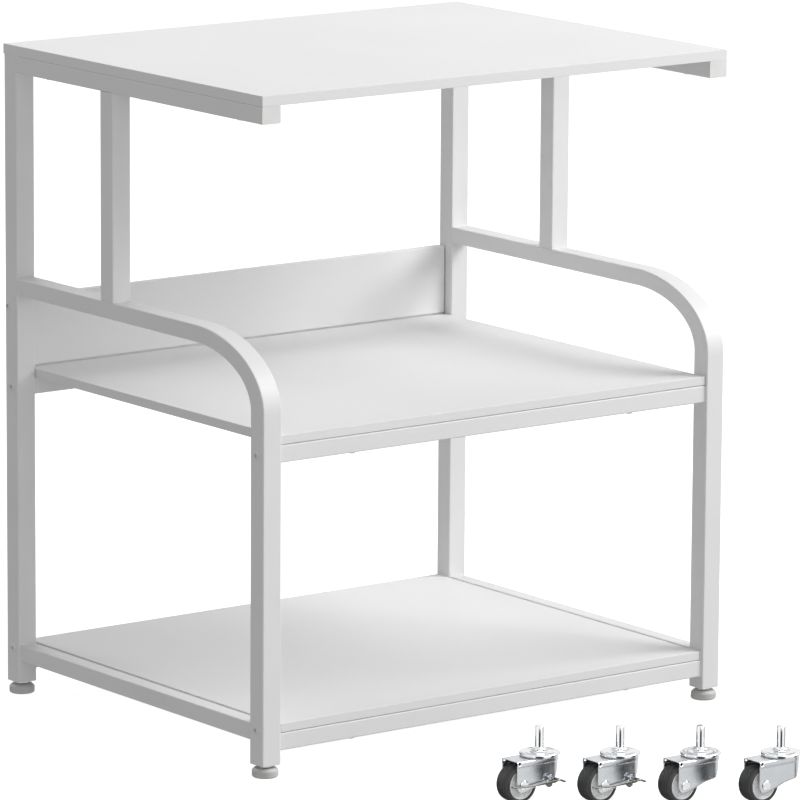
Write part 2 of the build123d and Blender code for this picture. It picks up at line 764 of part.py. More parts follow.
def brake_pins(number, x, y):
    """Riveted pivot pin, and the adjusting bolt with its nut in the tongue."""
    head_in = arm_inner + pedal_thick
    head_height = 0.8
    nut_height = 3.2
    nut_size = 7.0
    bolt_head = 2.0
    bolt_above = 3.0  # end of the adjusting bolt above the tongue's middle
    under = tongue_z - pedal_thick / 2
    with BuildPart() as pins:
        with Locations(Location((x + pivot_ahead, y, pivot_z), axis_y)):
            Cylinder(pivot_radius, 2 * head_in)
        for sign in (-1, 1):
            head_y = y + sign * (head_in + head_height / 2)
            with Locations(Location((x + pivot_ahead, head_y, pivot_z), axis_y)):
                Cylinder(pivot_head_radius, head_height)
        with Locations((x + adjuster_ahead, y, tongue_z + bolt_above - adjuster_length)):
            Cylinder(adjuster_radius, adjuster_length, align=standing)
        for low, height in ((under - nut_height, nut_height), (under + pedal_thick, bolt_head)):
            with BuildSketch(Plane.XY.offset(low)):
                with Locations((x + adjuster_ahead, y)):
                    RegularPolygon(nut_size / 2, 6, major_radius=False)
            extrude(amount=height)
    save(pins, f"caster_{number}_brake_pins")


for number, (x, y) in enumerate(caster_places, start=1):
    braked = number <= 2
    caster_stem(number, x, y)
    caster_balls(number, x, y)
    caster_fork(number, x, y, braked)
    caster_axle(number, x, y)
    caster_hub(number, x, y)
    caster_tyre(number, x, y)
    if braked:
        brake_pedal(number, x, y)
        brake_pins(number, x, y)
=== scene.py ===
import json
import math

import bmesh
import bpy
from mathutils import Matrix, Vector


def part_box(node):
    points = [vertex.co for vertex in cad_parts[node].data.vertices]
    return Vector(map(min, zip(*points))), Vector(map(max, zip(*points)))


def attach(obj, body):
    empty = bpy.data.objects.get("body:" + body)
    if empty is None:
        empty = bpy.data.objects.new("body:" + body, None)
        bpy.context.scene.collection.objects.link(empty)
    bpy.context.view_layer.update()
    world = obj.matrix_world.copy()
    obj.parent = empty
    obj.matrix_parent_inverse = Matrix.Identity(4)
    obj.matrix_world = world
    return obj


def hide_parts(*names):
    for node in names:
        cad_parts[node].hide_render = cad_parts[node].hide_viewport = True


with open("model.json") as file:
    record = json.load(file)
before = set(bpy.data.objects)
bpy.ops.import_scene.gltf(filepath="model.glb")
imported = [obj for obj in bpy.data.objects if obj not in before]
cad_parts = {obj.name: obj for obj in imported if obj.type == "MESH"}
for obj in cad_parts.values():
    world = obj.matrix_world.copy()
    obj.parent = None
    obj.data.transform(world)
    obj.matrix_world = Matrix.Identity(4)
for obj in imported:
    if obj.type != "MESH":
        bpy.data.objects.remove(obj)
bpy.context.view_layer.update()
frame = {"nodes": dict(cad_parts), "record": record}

MM = 0.001  # the meshes below are drawn in millimetres

scene = bpy.context.scene
scene.view_settings.view_transform = "Standard"
scene.view_settings.look = "None"
nodes = frame["nodes"]


# ---------------------------------------------------------------- materials
NOISE_RANGE = (0.3, 0.7)  # holds nearly all values of a noise texture


class Shader:
    """A Principled material with procedural variation, in the piece's own space."""

    def __init__(self, name, color, roughness, metallic=0.0, specular=0.5):
        self.mat = bpy.data.materials.new(name)
        self.mat.use_nodes = True
        self.tree = self.mat.node_tree
        self.bsdf = self.tree.nodes["Principled BSDF"]
        self.coords = self.tree.nodes.new("ShaderNodeTexCoord").outputs["Object"]
        self.set("Base Color", (*color, 1.0))
        self.set("Roughness", roughness)
        self.set("Metallic", metallic)
        self.set("Specular IOR Level", specular)

    def set(self, socket, value):
        self.bsdf.inputs[socket].default_value = value

    def link(self, source, target):
        self.tree.links.new(source, target)

    def noise(self, scale, detail, stretch=(1, 1, 1)):
        mapping = self.tree.nodes.new("ShaderNodeMapping")
        mapping.inputs["Scale"].default_value = stretch
        self.link(self.coords, mapping.inputs["Vector"])
        texture = self.tree.nodes.new("ShaderNodeTexNoise")
        texture.inputs["Scale"].default_value = scale
        texture.inputs["Detail"].default_value = detail
        self.link(mapping.outputs["Vector"], texture.inputs["Vector"])
        return texture.outputs["Fac"]

    def tint(self, source, dark, light):
        ramp = self.tree.nodes.new("ShaderNodeValToRGB")
        for stop, position, color in zip(ramp.color_ramp.elements, NOISE_RANGE, (dark, light)):
            stop.position = position
            stop.color = (*color, 1.0)
        self.link(source, ramp.inputs["Fac"])
        self.link(ramp.outputs["Color"], self.bsdf.inputs["Base Color"])

    def rough(self, source, low, high):
        node = self.tree.nodes.new("ShaderNodeMapRange")
        node.inputs["From Min"].default_value, node.inputs["From Max"].default_value = NOISE_RANGE
        node.inputs["To Min"].default_value = low
        node.inputs["To Max"].default_value = high
        self.link(source, node.inputs["Value"])
        self.link(node.outputs["Result"], self.bsdf.inputs["Roughness"])

    def bump(self, source, strength, distance):
        node = self.tree.nodes.new("ShaderNodeBump")
        node.inputs["Strength"].default_value = strength
        node.inputs["Distance"].default_value = distance
        self.link(source, node.inputs["Height"])
        self.link(node.outputs["Normal"], self.bsdf.inputs["Normal"])


def shade(color, factor):
    return tuple(c * factor for c in color)


def finish(
    name, color, roughness, spots, grain, bump=None, metallic=0.0, specular=0.5, stretch=(1, 1, 1)
):
    """Material with a drifting colour and gloss, and a fine surface.

    spots is (noise scale, detail, darkest, lightest), grain is (scale, detail, lowest, highest
    roughness) and bump is (scale, detail, strength, depth in metres).
    """
    s = Shader(name, color, roughness, metallic, specular)
    scale, detail, dark, light = spots
    s.tint(s.noise(scale, detail, stretch), shade(color, dark), shade(color, light))
    scale, detail, low, high = grain
    s.rough(s.noise(scale, detail), low, high)
    if bump:
        scale, detail, strength, depth = bump
        s.bump(s.noise(scale, detail), strength, depth)
    return s.mat


def plastic(name, color, roughness=0.45):
    spots = (60.0, 3.0, 0.96, 1.03)
    grain = (500.0, 2.0, roughness - 0.05, roughness + 0.08)
    return finish(name, color, roughness, spots, grain, (1500.0, 2.0, 0.08, 0.0001), specular=0.4)


def steel(name, color, roughness):
    spots = (45.0, 3.0, 0.96, 1.03)
    grain = (120.0, 3.0, roughness * 0.85, roughness * 1.2)
    return finish(name, color, roughness, spots, grain, metallic=1.0)


WHITE = (0.80, 0.80, 0.80)
BLACK = (0.034, 0.035, 0.036)
POWDER_COAT = finish(
    "powder_coat", WHITE, 0.45, (7.0, 4.0, 0.975, 1.015), (160.0, 2.0, 0.38, 0.52),
    (650.0, 2.0, 0.10, 0.0002), specular=0.4,
)
MELAMINE = finish(
    "melamine", WHITE, 0.5, (4.0, 5.0, 0.975, 1.015), (220.0, 3.0, 0.46, 0.60),
    (900.0, 3.0, 0.12, 0.00015), specular=0.35, stretch=(1, 0.6, 1),
)
RUBBER = finish(
    "tyre_rubber", BLACK, 0.42, (120.0, 4.0, 0.85, 1.25), (300.0, 3.0, 0.36, 0.50),
    (1200.0, 3.0, 0.15, 0.0001), specular=0.6,
)
MATS = {
    "white_frame": POWDER_COAT,
    "white_board": MELAMINE,
    "white_plastic": plastic("white_plastic", (0.78, 0.78, 0.77)),
    "grey_plastic": plastic("grey_plastic", (0.55, 0.55, 0.54)),
    "plated_steel": steel("zinc_plate", (0.74, 0.765, 0.79), 0.22),
    "polished_steel": steel("polished_plate", (0.90, 0.91, 0.92), 0.10),
    # dull steel: the dark steel of the adjuster and of the sheared sheet edges, and also the painted shade on
    # the pedal's arms
    "dull_steel": steel("dull_zinc_and_painted_shade", (0.20, 0.20, 0.19), 0.45),
    "white_bolts": plastic("bolt_heads", (0.74, 0.74, 0.74), 0.4),
    "hub_plastic": plastic("hub_plastic", (0.93, 0.93, 0.925), 0.35),
    "black_tyre": RUBBER,
}
for row in frame["record"]["subparts"]:
    node = nodes[row["node"]]
    node.data.materials.clear()
    node.data.materials.append(MATS[row["material_slot"]])


# ---------------------------------------------------------------- mesh helpers
MERGE = 1e-7  # metres


class Mesher:
    """Collects geometry in millimetres, then turns it into one mesh."""

    def __init__(self):
        self.bm = bmesh.new()

    def vert(self, point):
        return self.bm.verts.new([c * MM for c in point])

    def quads(self, rows, wrap=False):
        """Faces between rows of points; wrap joins each row's end to its start."""
        made = [[self.vert(p) for p in row] for row in rows]
        count = len(made[0])
        for low, high in zip(made, made[1:]):
            for i in range(count if wrap else count - 1):
                j = (i + 1) % count
                self.bm.faces.new((low[i], low[j], high[j], high[i]))
        return made

    def cap(self, ring, flip=False):
        self.bm.faces.new(list(reversed(ring)) if flip else ring)

    def tube(self, rings):
        """Closed solid through a stack of rings."""
        made = self.quads(rings, wrap=True)
        self.cap(made[0], flip=True)
        self.cap(made[-1])

    def lathe(self, profile, at=(0, 0, 0), axis="Z", segments=64, closed=False):
        """Revolves (radius, height) points about an axis through a place."""
        points = list(profile) + ([profile[0]] if closed else [])
        rings = []
        for radius, height in points:
            ring = []
            for i in range(segments):
                t = 2 * math.pi * i / segments
                u, v = radius * math.cos(t), radius * math.sin(t)
                point = (u, v, height) if axis == "Z" else (u, -height, v)
                ring.append([a + b for a, b in zip(at, point)])
            rings.append(ring)
        if closed:
            self.quads(rings, wrap=True)
        else:
            self.tube(rings)

    def prism(self, outline, low, high, at=(0, 0, 0)):
        """Pushes an (x, z) outline along -Y, from low to high."""
        self.tube([[[a + b for a, b in zip(at, (x, -h, z))] for x, z in outline] for h in (low, high)])

    def mesh(self, name, material, sharp=35.0):
        bmesh.ops.remove_doubles(self.bm, verts=self.bm.verts, dist=MERGE)
        bmesh.ops.recalc_face_normals(self.bm, faces=self.bm.faces)
        data = bpy.data.meshes.new(name)
        self.bm.to_mesh(data)
        self.bm.free()
        data.materials.append(material)
        data.polygons.foreach_set("use_smooth", [True] * len(data.polygons))
        data.set_sharp_from_angle(angle=math.radians(sharp))
        return data


def arc(cx, cy, radius, start, end, steps):
    """Points on an arc, angles in degrees."""
    return [
        (cx + radius * math.cos(math.radians(start + (end - start) * i / steps)),
         cy + radius * math.sin(math.radians(start + (end - start) * i / steps)))
        for i in range(steps + 1)
    ]


def hex_ring(across, limit, z, at=(0, 0), turn=0.0, steps=48):
    """One section of a hexagon bar, its corners cut back to a radius."""
    ring = []
    for i in range(steps):
        angle = 360 * i / steps
        flat = across / 2 / math.cos(math.radians((angle + 30) % 60 - 30))
        r, t = min(flat, limit), math.radians(angle + turn)
        ring.append((at[0] + r * math.cos(t), at[1] + r * math.sin(t), z))
    return ring


def place(name, data, body, replaced=(), at=(0, 0, 0)):
    """Puts a mesh on a body, standing for the CAD nodes it replaces."""
    piece = bpy.data.objects.new(name, data)
    scene.collection.objects.link(piece)
    piece.location = at
    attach(piece, body)
    if replaced:
        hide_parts(*replaced)
    return piece


def thicken(piece, thickness, offset=-1.0, rim=None):
    """Gives a sheet its thickness; rim is the finish of the sheared edge."""
    if rim and len(piece.data.materials) < 2:
        piece.data.materials.append(rim)
    solid = piece.modifiers.new("thickness", "SOLIDIFY")
    solid.thickness = thickness * MM
    solid.offset = offset
    solid.use_even_offset = True
    solid.material_offset_rim = 1 if rim else 0


def round_edges(piece, width, segments=2, angle=35.0):
    edge = piece.modifiers.new("edges", "BEVEL")
    edge.width = width * MM
    edge.segments = segments
    edge.limit_method = "ANGLE"
    edge.angle_limit = math.radians(angle)
    edge.harden_normals = True


# ---------------------------------------------------------------- casters
# Each caster is drawn round its stem: +X forward, +Z up, the floor at 0, in millimetres.
AXIS = 0.01  # radius of the ring that closes a lathed shape on its axis
WHEEL_R = 21.5
AXLE_X = -32.0
AXLE = (AXLE_X, 0, WHEEL_R)

FORK_HALF = 14.5
FORK_FRONT = 22.5
FORK_TOP = 49.0
FORK_SHEET = 1.4
FORK_BEND = 2.2
CHEEK_R = 9.5
CHEEK_LEAVE = -70.0  # degrees round the axle where the lower edge leaves the cheek's round end
KINK_X = -5.3
CORNER_X = 12.0
CORNER_Z = 24.0
SKIRT_Z = 41.0  # lower edge at the very front

CAP_R = 22.5
CAP_TOP = 53.4
CAP_HIGH = 2.9
HEX_TOP = 57.4
HEX_SIZE = 15.0
STEM_TOP = 82.6

YOKE_SHEET = 1.5
YOKE_FRONT = 26.5
YOKE_HALF = 19.0
YOKE_INNER = 17.0
WINDOW_FRONT = 15.5
NEAR_END = -53.0
FAR_END = -45.0
PIVOT = (2.0, 0, 26.0)
PIVOT_END = 18.62
ADJUSTER_X = 14.0


def stem_mesh():
    m = Mesher()
    # ground shank: undercut above the hex, chamfered end
    shank = [(4.5, HEX_TOP - 0.5), (4.5, HEX_TOP + 0.9), (4.98, HEX_TOP + 1.3), (4.98, STEM_TOP - 0.9)]
    shank += [(4.85, STEM_TOP - 0.55), (4.2, STEM_TOP), (AXIS, STEM_TOP)]
    m.lathe(shank)
    # hex with chamfered corners
    sections = ((CAP_TOP - 0.2, CAP_R), (HEX_TOP - 0.9, CAP_R), (HEX_TOP - 0.45, 8.2), (HEX_TOP, 7.6))
    made = m.quads([hex_ring(HEX_SIZE, limit, z) for z, limit in sections], wrap=True)
    m.cap(made[-1])
    # cap with rolled rim
    low, roll = CAP_TOP - CAP_HIGH, 1.4
    profile = [(CAP_R - 1.0, low), (CAP_R - 0.05, low), (CAP_R, low + 0.2), (CAP_R, CAP_TOP - roll)]
    profile += arc(CAP_R - roll, CAP_TOP - roll, roll, 0, 90, 6)[1:]
    profile += [(17.2, CAP_TOP), (16.6, CAP_TOP - 0.25), (11.2, CAP_TOP - 0.25), (10.6, CAP_TOP)]
    profile += [(AXIS, CAP_TOP), (AXIS, CAP_TOP - 1.2), (CAP_R - 1.8, CAP_TOP - 1.2)]
    profile += [(CAP_R - 1.0, CAP_TOP - 1.8)]
    m.lathe(profile, segments=96, closed=True)
    # kingpin head under the fork
    pin = [(AXIS, -4.3), (4.5, -4.3), (6.0, -3.7), (6.5, -2.8), (6.5, -1.8)]
    pin += [(4.0, -1.8), (4.0, 3.5), (AXIS, 3.5)]
    m.lathe([(r, FORK_TOP + h) for r, h in pin], segments=48)
    return m.mesh("stem", MATS["polished_steel"])


def fork_bottom(x):
    """Height of the lower edge of the fork's cheeks and skirt at a place along it."""
    leave = math.radians(CHEEK_LEAVE)
    leave_x, leave_z = AXLE_X + CHEEK_R * math.cos(leave), WHEEL_R + CHEEK_R * math.sin(leave)
    if x < leave_x:
        return WHEEL_R - math.sqrt(max(0.0, CHEEK_R**2 - (x - AXLE_X) ** 2))
    slope = math.tan(math.radians(90 + CHEEK_LEAVE))
    if x < KINK_X:
        return leave_z + (x - leave_x) * slope
    if x < CORNER_X:
        kink_z = leave_z + (KINK_X - leave_x) * slope
        return kink_z + (x - KINK_X) / (CORNER_X - KINK_X) * (CORNER_Z - kink_z)
    return CORNER_Z + (min(x, FORK_FRONT) - CORNER_X) / (FORK_FRONT - CORNER_X) * (SKIRT_Z - CORNER_Z)


def fork_stations(straight=44, curved=40):
    """Places round the fork's plan from one rear edge to the other: x, y and outward direction."""
    rear, arc_x = AXLE_X - CHEEK_R, FORK_FRONT - FORK_HALF
    near = []
    for i in range(straight + 1):
        # closer together round the end of the cheek
        share = (1 - math.cos(math.pi / 2 * i / straight)) if i < straight else 1.0
        near.append((rear + (arc_x - rear) * share, -FORK_HALF, 0.0, -1.0))
    front = []
    for i in range(1, curved):
        t = math.radians(-90 + 180 * i / curved)
        u, v = math.cos(t), math.sin(t)
        front.append((arc_x + FORK_HALF * u, FORK_HALF * v, u, v))
    return near + front + [(x, -y, nx, -ny) for x, y, nx, ny in reversed(near)]


def fork_mesh(rows_below=14):
    """Pressed fork: bent from one sheet, with a step below the race housing."""
    step = ((0.0, 44.5), (0.0, 43.2), (0.12, 42.8), (0.5, 42.4), (0.62, 42.0))  # (inset, height)
    rows = []
    for x, y, nx, ny in fork_stations():
        low = fork_bottom(x)
        column = [(FORK_BEND - p[0], FORK_TOP - FORK_BEND + p[1]) for p in arc(0, 0, FORK_BEND, 90, 0, 5)]
        for inset, z in step:
            margin = 0.2 if z == step[-1][1] else 0.55  # keeps the step above a high lower edge
            column.append((inset, max(z, low + margin)))
        inset, top = column[-1][0], column[-1][1]
        column += [(inset, top + (low - top) * k / rows_below) for k in range(1, rows_below + 1)]
        rows.append([(x - nx * depth, y - ny * depth, z) for depth, z in column])
    m = Mesher()
    made = m.quads(rows)
    # flat top, closing the bend's inner edge
    m.bm.faces.new([row[0] for row in made])
    # relief hole in each cheek near its top rear corner
    rear = AXLE_X - CHEEK_R
    hole = []
    for face in m.bm.faces:
        centre = face.calc_center_median() / MM
        if rear + 1.2 < centre.x < rear + 4.6 and 44.0 < centre.z < 48.4 and abs(centre.y) > FORK_HALF - 2.0:
            hole.append(face)
    bmesh.ops.delete(m.bm, geom=hole, context="FACES")
    return m.mesh("fork", MATS["plated_steel"], 40)


def race_mesh():
    """Lower race pressed on top of the fork, and a washer round the kingpin."""
    m = Mesher()
    profile = [(16.5, 0.05), (20.1, 0.05), (20.9, 0.4), (20.9, 0.9), (20.6, 1.2), (19.9, 1.2)]
    profile += [(19.5, 0.9), (18.7, 0.35), (16.5, 0.3)]
    m.lathe([(r, FORK_TOP + h) for r, h in profile], segments=96, closed=True)
    washer = [(4.05, 0.0), (6.0, 0.0), (6.6, 0.3), (6.0, 0.9), (4.05, 0.9)]
    m.lathe([(r, FORK_TOP + h) for r, h in washer], segments=48, closed=True)
    return m.mesh("race", MATS["plated_steel"], 40)


def balls_mesh(count=16, circle=17.0, radius=1.25, above_fork=1.6):
    m = Mesher()
    for i in range(count):
        t = 2 * math.pi * i / count
        spot = (circle * math.cos(t) * MM, circle * math.sin(t) * MM, (FORK_TOP + above_fork) * MM)
        bmesh.ops.create_uvsphere(
            m.bm, u_segments=16, v_segments=10, radius=radius * MM, matrix=Matrix.Translation(spot)
        )
    return m.mesh("race_balls", MATS["polished_steel"])


def axle_mesh():
    """Axle: a shaft with a flange and a hex head at each end."""
    m = Mesher()
    m.lathe([(AXIS, -16.3), (3.0, -16.3), (3.0, 14.0), (AXIS, 14.0)], AXLE, "Y", 32)
    m.lathe([(AXIS, 14.3), (5.5, 14.3), (5.5, 14.7), (5.2, 14.9), (AXIS, 14.9)], AXLE, "Y", 48)
    m.lathe([(AXIS, -14.9), (5.2, -14.9), (5.5, -14.7), (5.5, -14.3), (AXIS, -14.3)], AXLE, "Y", 48)
    head = arc(0, 0, 8.0 / math.sqrt(3), 15, 315, 5)
    for low, high in ((14.8, 16.2), (-16.2, -14.8)):
        m.prism(head, low, high, AXLE)
    return m.mesh("axle", MATS["polished_steel"])


def hub_mesh(ribs=8):
    """Moulded wheel body: rim, dished web with ribs, and a bearing boss."""
    m = Mesher()
    half = [(3.05, 12.0), (5.6, 12.0), (6.0, 11.6), (6.2, 10.0), (6.6, 8.4), (7.4, 8.0)]
    half += [(12.8, 7.6), (13.8, 7.8), (14.5, 8.3), (15.0, 9.4), (15.5, 9.9), (16.3, 10.0)]
    half += [(16.9, 9.8), (17.2, 9.4), (17.2, 0.0), (3.05, 0.0)]
    rib = ((5.6, -0.95), (15.4, -0.6), (15.4, 0.6), (5.6, 0.95))  # (radius, half width)
    for sign in (1, -1):
        m.lathe([(r, sign * h) for r, h in half], AXLE, "Y", 96, closed=True)
    for low, high in ((7.0, 9.2), (-9.2, -7.0)):
        for i in range(ribs):
            t = 2 * math.pi * (i + 0.5) / ribs
            c, s = math.cos(t), math.sin(t)
            m.prism([(c * r - s * w, s * r + c * w) for r, w in rib], low, high, AXLE)
    return m.mesh("hub", MATS["hub_plastic"])


def tyre_mesh():
    """Tyre: rounded shoulders, a raised band each side and grooves round the crown."""
    m = Mesher()
    half = [(17.25, 10.6), (17.5, 11.0), (18.9, 11.0), (19.4, 10.85), (20.0, 10.5), (20.45, 10.0)]
    half += [(20.8, 9.4), (21.0, 8.6), (21.12, 7.6), (21.2, 6.8), (20.75, 6.55), (20.65, 6.2)]
    half += [(20.75, 5.85), (21.35, 5.6), (21.45, 4.6), (21.5, 3.4), (21.05, 3.15), (20.9, 2.8)]
    half += [(21.05, 2.45), (21.5, 2.2), (21.5, 0.0)]
    m.lathe(half + [(r, -h) for r, h in reversed(half[:-1])], AXLE, "Y", 112, closed=True)
    return m.mesh("tyre", MATS["black_tyre"], 50)


def sheet_mesh(name, outline, holes, points, cuts, cut_spacing=1.5):
    """Flat sheet with an outline in plan, cut across by number, then bent through (x, z) points."""
    m = Mesher()
    edges = []
    for loop in [outline, *holes]:
        ring = [m.vert((*p, 0.0)) for p in loop]
        for i, v in enumerate(ring):
            edges.append(m.bm.edges.new((v, ring[(i + 1) % len(ring)])))
    bmesh.ops.triangle_fill(m.bm, edges=edges, use_beauty=True)
    for i in cuts:
        geom = m.bm.verts[:] + m.bm.edges[:] + m.bm.faces[:]
        plane = (i * cut_spacing * MM, 0, 0)
        bmesh.ops.bisect_plane(m.bm, geom=geom, dist=MERGE, plane_co=plane, plane_no=(1, 0, 0))
    for v in m.bm.verts:
        v.co.z = eased(points, v.co.x / MM) * MM
    data = m.mesh(name, MATS["plated_steel"], 40)
    if sum(face.normal.z for face in data.polygons) < 0:
        data.flip_normals()
    return data


def eased(points, x):
    """Height at x of a curve that is level at each of its (x, z) points."""
    if x <= points[0][0]:
        return points[0][1]
    for (x0, z0), (x1, z1) in zip(points, points[1:]):
        if x <= x1:
            t = (x - x0) / (x1 - x0)
            return z0 + (z1 - z0) * t * t * (3 - 2 * t)
    return points[-1][1]


def pedal_mesh(painted_shade_behind=12.0):
    """Stamped yoke round the fork: two arms, and a rounded tab that dips at the front; the arms are coloured
    dark steel as painted shade.
    """
    tab_r, window_r, nick = 7.0, 4.0, 0.6
    tab_x, window_x = YOKE_FRONT - tab_r, WINDOW_FRONT - window_r
    outline = [(NEAR_END + nick, -YOKE_HALF), (tab_x, -YOKE_HALF)]
    outline += arc(tab_x, tab_r - YOKE_HALF, tab_r, -90, 0, 8)[1:]
    outline += arc(tab_x, YOKE_HALF - tab_r, tab_r, 0, 90, 8)
    outline += [(FAR_END + nick, YOKE_HALF), (FAR_END, YOKE_HALF - nick), (FAR_END, YOKE_INNER + nick)]
    outline += [(FAR_END + nick, YOKE_INNER), (window_x, YOKE_INNER)]
    outline += arc(window_x, YOKE_INNER - window_r, window_r, 90, 0, 6)[1:]
    outline += arc(window_x, window_r - YOKE_INNER, window_r, 0, -90, 6)
    outline += [(NEAR_END + nick, -YOKE_INNER), (NEAR_END, -YOKE_INNER - nick), (NEAR_END, -YOKE_HALF + nick)]
    bends = (
        (-53.0, 23.2), (-46.0, 21.8), (-34.0, 20.6), (-20.0, 20.4), (-6.0, 21.4),
        (8.0, 21.7), (16.0, 21.0), (22.0, 18.6), (26.5, 17.6),
    )
    data = sheet_mesh("pedal", outline, (), bends, cuts=range(-34, 18))
    data.materials.append(MATS["dull_steel"])
    # painted shade: faces behind the given x, the arms, take the dark steel, while the tab in front keeps the
    # plating
    for face in data.polygons:
        face.material_index = 1 if face.center.x < painted_shade_behind * MM else 0
    return data


def tongue_mesh():
    """Tongue from the tab back to the tyre, with rounded end corners."""
    outline = [(22.5, -6.0), (22.5, 6.0), (-5.3, 6.0)] + arc(-5.3, 4.0, 2.0, 90, 180, 5)[1:]
    outline += arc(-5.3, -4.0, 2.0, 180, 270, 5)
    hole = arc(ADJUSTER_X, 0.0, 2.1, 0, 345, 23)
    bends = ((-7.3, 16.0), (18.0, 16.0), (22.5, 17.4))
    return sheet_mesh("tongue", outline, [hole], bends, cuts=range(-4, 15))


def ears_mesh():
    """Raised ears of the yoke, which hang on the pivot pin."""
    m = Mesher()
    outline = [(-4.4, 21.8), (8.4, 21.8), (6.9, 22.4), (5.9, 23.6)]
    outline += arc(PIVOT[0], PIVOT[2], 3.6, -20, 200, 18) + [(-1.9, 23.6), (-2.9, 22.4)]
    for low, high in ((-18.6, -17.0), (17.0, 18.6)):
        m.prism(outline, low, high)
    return m.mesh("ears", MATS["plated_steel"])


def pivot_mesh():
    """Pivot pin with low riveted ends."""
    m = Mesher()
    end = [(AXIS, -18.95), (1.4, -18.9), (2.0, -18.8), (2.3, -PIVOT_END), (1.5, -18.6)]
    m.lathe(end + [(r, -h) for r, h in reversed(end)], PIVOT, "Y", 40)
    return m.mesh("pivot", MATS["plated_steel"])


def thread_rings(x, low, high, core, crest, pitch, around=24, per_pitch=6):
    """Sections of a screw thread round a vertical axis."""
    steps = int((high - low) / pitch * per_pitch)
    rings = []
    for k in range(steps + 1):
        z = low + (high - low) * k / steps
        ring = []
        for i in range(around):
            t = 2 * math.pi * i / around
            phase = (z / pitch - i / around) % 1.0
            ridge = min(1.0, max(0.0, 1.6 * abs(2 * phase - 1) - 0.3))
            r = core + (crest - core) * ridge
            ring.append((x + r * math.cos(t), r * math.sin(t), z))
        rings.append(ring)
    return rings


def adjuster_mesh():
    """Adjusting bolt with its nut under the tongue."""
    m = Mesher()
    m.tube(thread_rings(ADJUSTER_X, low=10.0, high=19.0, core=1.7, crest=2.0, pitch=0.7))
    low, high, across = 11.4, 15.2, 7.0
    face, shoulder = 1.0044 * across / 2, 1.1016 * across / 2  # radii of its chamfered ends
    sections = ((low, face), (low + 0.35, shoulder), (low + 0.5, across))
    sections += ((high - 0.5, across), (high - 0.35, shoulder), (high, face))
    m.tube([hex_ring(across, limit, z, (ADJUSTER_X, 0), turn=10) for z, limit in sections])
    return m.mesh("adjuster", MATS["dull_steel"])


STEM, BALLS = stem_mesh(), balls_mesh()
FORK, RACE, AXLE_BOLT = fork_mesh(), race_mesh(), axle_mesh()
HUB, TYRE = hub_mesh(), tyre_mesh()
PEDAL, TONGUE, EARS = pedal_mesh(), tongue_mesh(), ears_mesh()
PIVOT_PIN, ADJUSTER = pivot_mesh(), adjuster_mesh()
BRAKED = (1, 2)
for number in (1, 2, 3, 4):
    low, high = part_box(f"caster_{number}_stem")
    at = ((low[0] + high[0]) / 2, (low[1] + high[1]) / 2, 0.0)
    name = f"caster_{number}"
    head, fork, wheel, pedal = (f"{name}_{part}" for part in ("head", "fork", "wheel", "pedal"))
    place(f"{name}_stem_look", STEM, head, [f"{name}_stem"], at)
    place(f"{name}_balls_look", BALLS, head, [f"{name}_race_balls"], at)
    sheet = place(f"{name}_fork_look", FORK, fork, [f"{name}_fork"], at)
    thicken(sheet, FORK_SHEET)
    place(f"{name}_race_look", RACE, fork, (), at)
    place(f"{name}_axle_look", AXLE_BOLT, fork, [f"{name}_axle"], at)
    place(f"{name}_hub_look", HUB, wheel, [f"{name}_hub"], at)
    place(f"{name}_tyre_look", TYRE, wheel, [f"{name}_tyre"], at)
    if number in BRAKED:
        yoke = place(f"{name}_pedal_look", PEDAL, pedal, [f"{name}_pedal"], at)
        thicken(yoke, YOKE_SHEET, offset=0.0, rim=MATS["dull_steel"])
        strip = place(f"{name}_tongue_look", TONGUE, pedal, (), at)
        thicken(strip, YOKE_SHEET, offset=0.0, rim=MATS["dull_steel"])
        ears = place(f"{name}_ears_look", EARS, pedal, (), at)
        round_edges(ears, 0.3)
        place(f"{name}_adjuster_look", ADJUSTER, pedal, [f"{name}_brake_pins"], at)
        place(f"{name}_pivot_look", PIVOT_PIN, pedal, (), at)


# ---------------------------------------------------------------- boards
def stepped_board(name, step_z, depth):
    """Board whose front face is set back below a height, for the shadow line there."""
    low, high = ([c / MM for c in corner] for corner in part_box(name))
    y0, y1, z0, z1 = low[1], high[1], low[2], high[2]
    section = [(y0 + depth, z0), (y0 + depth, step_z), (y0, step_z), (y0, z1), (y1, z1), (y1, z0)]
    m = Mesher()
    m.tube([[(x, y, z) for y, z in section] for x in (low[0], high[0])])
    data = m.mesh(f"{name}_look", MATS["white_board"])
    piece = place(f"{name}_look", data, "frame", [name])
    round_edges(piece, 0.5, segments=3)


SHELF_GAP = 0.9  # height of the shadow gap under a shelf's front edge
PANEL_GAP = 1.8  # height of the gap above the shelf, at the foot of the back panel
for shelf in ("middle_board", "bottom_board"):
    stepped_board(shelf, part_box(shelf)[0][2] / MM + SHELF_GAP, depth=2.0)
stepped_board("back_panel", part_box("middle_board")[1][2] / MM + PANEL_GAP, depth=1.6)


# ---------------------------------------------------------------- stage
bpy.ops.mesh.primitive_plane_add(size=120.0, location=(0, 0, 0))
floor = bpy.context.object
floor.name = "studio_floor"
paper = Shader("studio_floor", (0.55, 0.55, 0.55), 1.0, specular=0.0)
paper.set("Emission Color", (1, 1, 1, 1))
paper.set("Emission Strength", 0.82)
paper.tint(paper.noise(2.0, 2.0), (0.54, 0.54, 0.54), (0.56, 0.56, 0.56))
floor.data.materials.append(paper.mat)
floor.visible_diffuse = False
floor.visible_glossy = False

